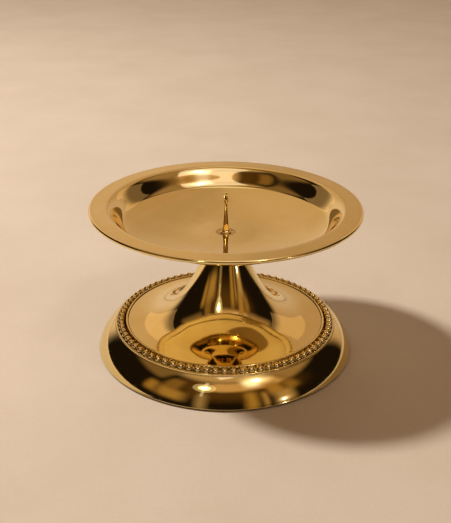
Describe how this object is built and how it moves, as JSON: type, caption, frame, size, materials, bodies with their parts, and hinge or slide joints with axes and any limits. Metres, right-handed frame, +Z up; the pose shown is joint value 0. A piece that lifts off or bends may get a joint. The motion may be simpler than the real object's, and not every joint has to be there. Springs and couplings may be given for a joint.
{
  "type": "pricket candle holder",
  "caption": "Round candle stand: a wide shallow drip pan with an upright pricket spike, on a trumpet stem and a domed foot with a beaded border.",
  "frame": {"origin": "on the holder's axis at the level of the table, under the felt ring", "axes": "+Z up along the axis of revolution, through the tip of the pricket; the holder is round, so +X and +Y point to no special side"},
  "size_m": [0.14, 0.14, 0.0872],
  "materials": {
    "brass": "mirror-polished spun sheet brass",
    "brass_beads": "polished rolled beaded wire, darker between the beads",
    "brass_turned": "turned and polished brass rod",
    "steel": "bright zinc-plated steel",
    "fibre": "vulcanised fibre, matt",
    "felt": "pressed wool felt"
  },
  "bodies": {
    "root": {"skirt_shell": "brass", "trumpet_shell": "brass", "bead_ring": "brass_beads", "drip_pan": "brass", "pan_gasket": "fibre", "backing_washer": "steel", "hex_nut": "steel", "felt_ring": "felt"},
    "washer": {"pricket_washer": "brass_turned"},
    "pricket": {"pricket": "brass_turned"}
  },
  "joints": [
    {"name": "pricket_turn", "type": "hinge", "parent": "root", "child": "washer", "pos_m": [0, 0, 0.0654], "axis": [0, 0, 1], "range_deg": [0, 2520]},
    {"name": "pricket_rise", "type": "slide", "parent": "washer", "child": "pricket", "axis": [0, 0, 1], "range_m": [0, 0.0056]}
  ],
  "couplings": [
    {"joint": "pricket_turn", "follows": "pricket_rise", "rad_per_m": 7854}
  ]
}
